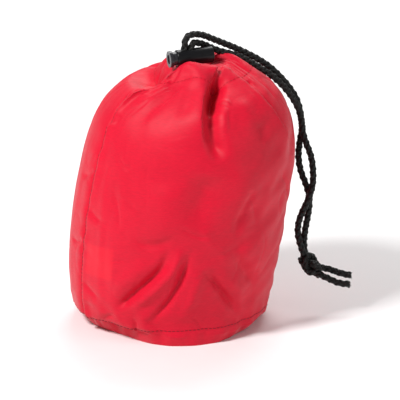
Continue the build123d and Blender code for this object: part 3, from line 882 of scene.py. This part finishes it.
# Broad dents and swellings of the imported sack: angle, reach in degrees, height, reach, depth.
DENTS = (
    (166, 34, 176, 15, -13.0),
    (306, 26, 8, 10, 3.0),
    (196, 36, 184, 13, -11.0),
    (196, 32, 9, 13, -6.0),
    (236, 20, 6, 10, -9.0),
    (0, 40, 120, 60, 1.6),
    (270, 18, 10, 10, 1.8),
)
LOBE_CENTRE_X, LOBE_HALF_WIDTH = 15.0, 11.5
LOBE_RADIUS, LOBE_DEPTHS, LOBE_HEIGHT = 28.0, (15.0, 5.0), 7.5


def packed_push(points, angle, height, radius):
    """How far the gathers, the crumpling and the dents move each point of the smooth sack outward."""
    push = mouth_pleats(angle, radius)
    body = smooth((height - 10) / 30) * smooth((radius - 20) / 30)
    push = push + body * (0.9 * wave_noise(points, 95, 1) + 0.45 * wave_noise(points, 42, 2))
    crumple = np.abs(wave_noise(points, 34, 3))
    push = push - 0.45 * body * np.exp(-(crumple / 0.16) ** 1.2) * smooth(0.5 + wave_noise(points, 70, 5))
    for centre_angle, reach, centre_height, spread, amount in DENTS:
        push = push + amount * (np.exp(-(angle_gap(angle, centre_angle) / reach) ** 2)
                                * np.exp(-((height - centre_height) / spread) ** 2))
    from_cord = np.hypot(radius - CHANNEL_RADIUS, height - CHANNEL_CENTRE[2])
    return np.maximum(push, CORD_ROOM - from_cord)


def wall_grid():
    """The sack's wall and hem: points of the cloth, with the angle and height of each."""
    angles = SEAM_ANGLE + np.linspace(0, 360, WALL_COLUMNS, endpoint=False)
    angle = np.broadcast_to(angles % 360, (WALL_ROWS, WALL_COLUMNS))
    turn = np.radians(angle)
    height, centre, radius = (np.broadcast_to(TABLE[:, k:k + 1], angle.shape) for k in range(3))
    points = about_axis(turn, radius, height, centre)
    around = np.roll(points, -1, axis=1) - np.roll(points, 1, axis=1)
    up = np.gradient(points, axis=0)
    normals = unit(np.cross(around, up))
    cloth = points + normals * packed_push(points, angle, height, radius)[..., None]
    cloth = settled(cloth)
    push, slide = fold_field(points, normals)
    push = push + seam_field(angle, height, radius)
    cloth = cloth + normals * push[..., None] + unit(around) * slide[..., None]
    front = (np.exp(-((cloth[..., 0] - LOBE_CENTRE_X) / LOBE_HALF_WIDTH) ** 2)
             * np.exp(-((radius - LOBE_RADIUS) / np.where(radius > LOBE_RADIUS, *LOBE_DEPTHS)) ** 2)
             * (cloth[..., 1] < 0))
    cloth[..., 2] += LOBE_HEIGHT * front
    return cloth, normals, angle, height


GROOVE_DEPTH, GROOVE_WIDTH = 3.6, 1.5       # of the side seam
LAP_RISE, LAP_WIDTH = 1.6, 6.0              # of the cloth that laps over it
BASE_EDGE, BASE_STITCHES = 8, 12.5          # heights of the base seam and of its row of stitches
HEM_STITCHES_RADIUS = 37.5


def seam_field(angle, height, radius):
    """The groove and puckers of the side seam, of the base seam and of the hem's row of stitches."""
    gap = angle_gap(angle, SEAM_ANGLE) * np.pi / 180 * radius
    tall = smooth((height - BASE_EDGE) / 6) * smooth((radius - 30) / 12)
    side = -GROOVE_DEPTH * np.exp(-np.abs(gap) / GROOVE_WIDTH) * tall
    side += LAP_RISE * np.where(gap > 0, np.exp(-(gap / LAP_WIDTH) ** 2), 0) * tall
    pucker = np.sin(height * 2 * pi / 13 + 1.3 * np.sin(height / 9)) * np.sin(height / 21 + 1)
    side += 0.55 * pucker * np.exp(-np.abs(gap) / 7) * tall
    turn = np.radians(angle)
    ruffle = np.sin(38 * turn + 2 * np.sin(5 * turn)) * (0.6 + 0.4 * np.sin(7 * turn + 1))
    gathers = np.sin(17 * turn + 1.5 * np.sin(3 * turn)) + 0.6 * np.sin(29 * turn + 1)
    low = (0.5 * ruffle + 0.7 * gathers) * np.exp(-(height - BASE_EDGE) / 9)
    low -= 0.2 * np.exp(-((height - BASE_STITCHES) / 1.2) ** 2)
    hem = -0.12 * np.exp(-((radius - HEM_STITCHES_RADIUS) / 1.0) ** 2)
    return side + low + hem


def label_patch(angle, height):
    """1 where the label lies behind the cloth, 0 elsewhere."""
    wide = np.abs(angle_gap(angle, LABEL_ANGLE)) * pi / 180 * SACK_RADIUS
    tall = np.abs(height - LABEL_Z)
    return smooth((LABEL_SIZE[0] / 2 + 1.5 - wide) / 3) * smooth((LABEL_SIZE[1] / 2 + 1.5 - tall) / 3)


WALL, WALL_NORMALS, WALL_ANGLE, WALL_HEIGHT = wall_grid()


def on_wall(angle, mark, lift=0.0):
    """Points of the finished wall at an angle and a distance along its outline, lifted outward."""
    column = ((np.asarray(angle, float) - SEAM_ANGLE) % 360) / 360 * WALL_COLUMNS
    row = np.interp(mark, MARKS, np.arange(WALL_ROWS))
    return between(WALL, row, column) + between(WALL_NORMALS, row, column) * lift


# How far out the base touches the ground: angle, radius.
FOOT = ((0, 60), (40, 63), (90, 62), (140, 60), (180, 58), (204, 58), (215, 56), (225, 55), (240, 57),
        (255, 64), (270, 70), (285, 72), (300, 71), (315, 66), (330, 62), (360, 60))
FOOT_SHARE = 0.82           # share of the base cloth that lies flat, before it rises to its seam
WALL_GIRTH, BASE_WIDTH = 0.485, 0.144       # flat sizes of the two cloths, in metres
UV_GIRTH = 2 * pi * 0.076
NYLON_DEEP = (0.62, 0.001, 0.022)
NYLON_BRIGHT = (0.76, 0.003, 0.030)
PATCH_RED = (0.86, 0.012, 0.030)


def make_sack():
    """The body cloth with its hem."""
    nylon = cloth_material("sack_cloth", NYLON_DEEP, NYLON_BRIGHT, (2000, 1000), 0.50, 0.00009, 0.08,
                           PATCH_RED)
    wall = sheet_object("sack_wall", WALL, nylon, {"patch": 0.36 * label_patch(WALL_ANGLE, WALL_HEIGHT)},
                        u=np.linspace(0, UV_GIRTH, WALL_COLUMNS + 1), v=MARKS * MM, wrap=True)
    stand_in(wall, "sack", "sack_cloth", "bag_wall", "cord_channel_hem")


def make_base():
    """The base cloth: flat on the ground, and turned up to its seam at the edge."""
    cloth = cloth_material("base_cloth", NYLON_DEEP, NYLON_BRIGHT, (1500, 1500), 0.45, 0.00006, 0.2)
    share = np.linspace(0, 1, 46)[:, None]
    turn = np.radians(WALL_ANGLE[0])
    foot = about_axis(turn, np.interp(WALL_ANGLE[0], *np.array(FOOT).T), 0.0)
    inner = np.minimum(share / FOOT_SHARE, 1.0)[..., None]
    outer = np.maximum((share - FOOT_SHARE) / (1 - FOOT_SHARE), 0.0)[..., None]
    points = foot * inner * (1 - outer) + WALL[0] * outer
    points[..., 2] = WALL[0, :, 2] * outer[..., 0] ** 1.4
    points[0] = about_axis(turn, 0.5, 0.0)
    buckle = wave_noise(points, 24, 8) * smooth(share) * (1 - smooth((share - 0.9) / 0.1))
    points[..., 2] = np.maximum(points[..., 2] + 0.35 * buckle, 0.0)
    base = sheet_object("sack_base", points[::-1], cloth, u=np.linspace(0, UV_GIRTH, WALL_COLUMNS + 1),
                        v=share[::-1, 0] * BASE_WIDTH / 2, wrap=True)
    stand_in(base, "sack", "sack_cloth", "bag_base")


# ---- Sewing ----
STITCH, STITCH_GAP, STITCH_RADIUS, STITCH_LIFT = 2.3, 0.7, 0.24, 0.15


def add_stitches(soup, path):
    """A row of single stitches, each a short thread that dives into the cloth at both ends."""
    points, along = resample(path, 0.1)
    for i in range(int(along[-1] / (STITCH + STITCH_GAP))):
        start = i * (STITCH + STITCH_GAP)
        line = at_marks(np.linspace(start, start + STITCH, 6), along, points)
        add_tube(soup, line, STITCH_RADIUS * np.array([0.4, 0.9, 1.0, 1.0, 0.9, 0.4]), sides=6)


def sewn_row(name, path, node, thread):
    """A row of stitches that stands for a CAD thread."""
    soup = new_soup()
    add_stitches(soup, path)
    stand_in(make_object(name, soup, thread), "sack", "thread", node)


def make_sewing():
    """The rows of stitches and the bartacks of the cord's buttonhole."""
    yarn = ((6, 30), 0.5, 0.00004)
    thread = cloth_material("thread", (0.50, 0.003, 0.018), (0.66, 0.008, 0.030), *yarn)
    # Painted shadow: a much darker copy of the real thread, for the side and base seams, standing in for
    # the shade in their grooves.
    painted_shadow_thread = cloth_material("seam_thread_painted_shadow", (0.16, 0.002, 0.010), (0.32, 0.004, 0.018), *yarn)
    up = np.linspace(mark_at(13), mark_at(180), 400)
    beside = np.full(400, SEAM_ANGLE + 1.2)
    around = SEAM_ANGLE + np.linspace(0, 360, 900)
    rows = (
        ("side_stitches", beside, up, "side_seam_thread", painted_shadow_thread),
        ("base_stitches", around, np.full(900, mark_at(BASE_STITCHES)), "base_seam_thread", painted_shadow_thread),
        ("hem_stitches", around, np.full(900, mark_at(185.0)), "hem_thread", thread),
    )
    for name, angles, marks, node, material in rows:
        sewn_row(name, on_wall(angles, marks, STITCH_LIFT), node, material)
    make_bartacks(thread)


TACK_OUT, TACK_HEIGHT, TACK_HALF, TACK_RISE = 7.6, 192.8, 2.5, 0.15
TACK_BARS, TACK_PITCH = 9, 0.14


def make_bartacks(thread):
    """A block of close stitches at each end of the buttonhole through which the cord leaves the hem."""
    soup = new_soup()
    exit_middle = (np.array(INNER_ROUTE[0]) + np.array(OUTER_ROUTE[0])) / 2
    slot_way = unit(np.array([-0.941, -0.30, 0.0]))
    tack_way = np.array([-slot_way[1], slot_way[0], 0.0])
    t = np.linspace(-1, 1, 7)[:, None]
    for end in (-1, 1):
        middle = exit_middle + slot_way * end * TACK_OUT
        middle[2] = TACK_HEIGHT
        for i in range(TACK_BARS):
            bar = middle + slot_way * (i - TACK_BARS // 2) * TACK_PITCH
            line = bar + tack_way * TACK_HALF * t + np.array([0, 0, TACK_RISE]) * (1 - t ** 2)
            add_tube(soup, line, 0.14, sides=5)
    stand_in(make_object("bartack_stitches", soup, thread), "sack", "thread", "exit_bartacks")


def make_linings():
    """What is sewn to the inside of the wall: the seam's tape, the base seam's binding, the label."""
    tape = cloth_material("seam_tape", (0.40, 0.010, 0.03), (0.55, 0.016, 0.04), (40, 260), 0.6, 0.00008)
    blank = cloth_material("label", (0.72, 0.71, 0.67), (0.84, 0.83, 0.79), (90, 70), 0.6, 0.00005)
    strips = (
        ("seam_tape_strip", "side_seam_tape", "seam_tape", tape,
         np.linspace(-3.6, 3.6, 9) + SEAM_ANGLE, np.linspace(mark_at(15), mark_at(176), 150), -1.2),
        ("base_binding", "base_seam_binding", "seam_tape", tape,
         np.linspace(0, 360, 361) + SEAM_ANGLE, np.linspace(mark_at(8.3), mark_at(13), 7), -1.3),
        ("label_cloth", "care_label", "label", blank,
         np.linspace(-11, 11, 31) + LABEL_ANGLE, np.linspace(mark_at(50), mark_at(72), 23), -1.2),
    )
    for name, node, slot, cloth, angles, marks, lift in strips:
        grid_angle, grid_mark = np.meshgrid(angles, marks)
        frayed = grid_angle + 0.25 * np.sin(grid_mark * 2.1) * np.sign(grid_angle - angles.mean())
        stand_in(sheet_object(name, on_wall(frayed, grid_mark, lift), cloth), "sack", slot, node)


# ---- The blanket ----
ROLL_FOOT = np.array([1.0, 0.0, 12.5])
ROLL_LEAN = np.array([0.09, 0.0, 1.0]) / np.linalg.norm([0.09, 0.0, 1.0])
ROLL_HEIGHT, ROLL_CORE, ROLL_LAYER, ROLL_PITCH, ROLL_TURNS, PLIES = 138.0, 9.0, 7.0, 8.0, 6, 8
BLANKET_SIDE = 1.2
HEM_TAPE_WIDTH, PULL_WIDTH, PULL_THICKNESS = 14, 25, 1.5


def in_roll(right, back, up):
    """Points given across, back and up the leaning roll."""
    side = unit(np.cross([0.0, 1.0, 0.0], ROLL_LEAN))
    flat = right[..., None] * side + back[..., None] * np.array([0, 1.0, 0])
    return ROLL_FOOT + flat + up[..., None] * ROLL_LEAN


def make_blanket():
    """The glass cloth: folded back and forth in eight plies, and the folded strip rolled up."""
    glass = cloth_material("glass_cloth", (0.72, 0.69, 0.61), (0.84, 0.82, 0.76), (900, 900), 0.55, 0.0002)
    turn = np.linspace(0, 2 * pi * ROLL_TURNS, 430)
    ply_gap = ROLL_LAYER / PLIES
    ups, offsets = [], []
    for ply in range(PLIES):
        climb = np.linspace(1.2, ROLL_HEIGHT - 1.2, 7)
        ups.extend(climb if ply % 2 == 0 else climb[::-1])
        offsets.extend([ply * ply_gap + 0.4] * len(climb))
        if ply < PLIES - 1:
            ups.append(ROLL_HEIGHT - 0.5 if ply % 2 == 0 else 0.5)
            offsets.append((ply + 0.5) * ply_gap + 0.4)
    ups, offsets = np.array(ups)[:, None], np.array(offsets)[:, None]
    radius = ROLL_CORE + offsets + ROLL_PITCH * turn[None, :] / (2 * pi)
    x, y = radius * np.cos(turn), radius * np.sin(turn)
    up = np.broadcast_to(ups, x.shape)
    points = in_roll(x, y, up)
    outward = unit(points - in_roll(0 * x, 0 * y, up))
    points = points + 0.12 * wave_noise(points, 30, 12)[..., None] * outward
    cloth = sheet_object("blanket", points, glass, u=np.linspace(0, BLANKET_SIDE, 430),
                         v=np.linspace(0, BLANKET_SIDE, len(ups)))
    stand_in(cloth, "sack", "glass_cloth", "blanket_cloth")
    make_tapes()


def band(soup, path, across, width, thickness):
    """A flat tape along a path, with rounded edges."""
    heading = unit(np.gradient(path, axis=0))
    out = unit(np.cross(heading, across))
    sides = np.linspace(0, 2 * pi, 20, endpoint=False)
    wide = np.sign(np.cos(sides)) * np.abs(np.cos(sides)) ** 0.25 * width / 2
    thick = np.sign(np.sin(sides)) * np.abs(np.sin(sides)) ** 0.7 * thickness / 2
    ring = np.asarray(across) * wide[None, :, None] + out[:, None] * thick[None, :, None]
    add_grid(soup, path[:, None] + ring, v=np.linspace(0, 1, len(path)), wrap=True, caps=True)


def make_tapes():
    """The sewn tape on the blanket's outer edge, and the two webbing pull tapes folded on top."""
    hem_cloth = cloth_material("hem_tape", (0.66, 0.64, 0.57), (0.78, 0.76, 0.70), (16, 140), 0.6, 0.00012)
    webbing = cloth_material("pull_tape", (0.02, 0.02, 0.02), (0.05, 0.05, 0.05), (30, 60), 0.55, 0.0002)
    last = ROLL_CORE + ROLL_LAYER + ROLL_PITCH * (ROLL_TURNS - 0.5)
    turn, up = np.meshgrid(np.linspace(-HEM_TAPE_WIDTH / last, 0, 12), np.linspace(1, ROLL_HEIGHT - 1, 40))
    radius = last + 0.6 + 0.12 * np.sin(up * 1.3)
    points = in_roll(ROLL_PITCH / 2 + radius * np.cos(turn), radius * np.sin(turn), up)
    stand_in(sheet_object("blanket_hem", points, hem_cloth), "sack", "hem_tape", "blanket_hem_tape")
    for name, node, way in (("pull_tape_a", "pull_tape_left", -1), ("pull_tape_b", "pull_tape_right", 1)):
        bend = np.linspace(-pi / 2, pi / 2, 16)
        there, back = np.linspace(-22, 16, 20), np.linspace(16, -16, 18)
        reach = np.concatenate([there, 16 + 3.5 * np.cos(bend), back])
        rise = np.concatenate([np.zeros(20), 3.5 + 3.5 * np.sin(bend), np.full(18, 7.0)])
        rise = rise + 1.0 + 0.25 * np.sin(reach * 0.4)
        path = in_roll(way * (25 + reach), 0 * reach, ROLL_HEIGHT + rise)
        soup = new_soup()
        band(soup, resample(path, 0.8)[0], (0.0, 1.0, 0.0), PULL_WIDTH, PULL_THICKNESS)
        stand_in(make_object(name, soup, webbing), "sack", "pull_tape", node)


def make_lock():
    """The lock keeps its CAD shape, with softened edges: a barrel of grained plastic, a plain plunger."""
    grained = grained_material("lock_plastic", (0.005, 0.005, 0.006), 0.3, (0.003, 0.003, 0.004),
                               (0.007, 0.007, 0.008), (0.2, 0.42), (260.0, 6.0, 0.7, (1, 4, 1)),
                               (0.12, 0.0001), grain=(1400.0, 3.0), Specular_IOR_Level=0.3)
    plain = bpy.data.materials["lock_plastic"]      # the one that the CAD came with, a shade paler
    for node, material, edge in (("lock_barrel", grained, 0.0004), ("lock_plunger", plain, 0.0003)):
        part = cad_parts[node]
        part.data.materials.clear()
        part.data.materials.append(material)
        bevel = part.modifiers.new("soft_edges", "BEVEL")
        bevel.width = edge
        bevel.segments = 3
        bevel.limit_method = "ANGLE"
        bevel.angle_limit = radians(40)
        bevel.harden_normals = False


def make_spring():
    """The lock's spring, a copy of the CAD coil."""
    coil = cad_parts["lock_spring"]
    spring = bpy.data.objects.new("spring_coil", coil.data.copy())
    bpy.context.collection.objects.link(spring)
    spring.matrix_world = coil.matrix_world.copy()
    spring.data.materials.clear()
    steel = grained_material("spring_steel", (0.58, 0.58, 0.6), 0.3, (0.42, 0.42, 0.43), (0.68, 0.68, 0.70),
                             (0.2, 0.42), (900.0, 4.0, 0.6, (1, 1, 6)), (0.2, 0.00005), Metallic=1.0)
    spring.data.materials.append(steel)
    stand_in(spring, "sack", "spring_steel", "lock_spring")
    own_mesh(spring)


make_camera()
make_cords()
make_lock()
make_spring()
make_sack()
make_base()
make_sewing()
make_linings()
make_blanket()
make_studio()
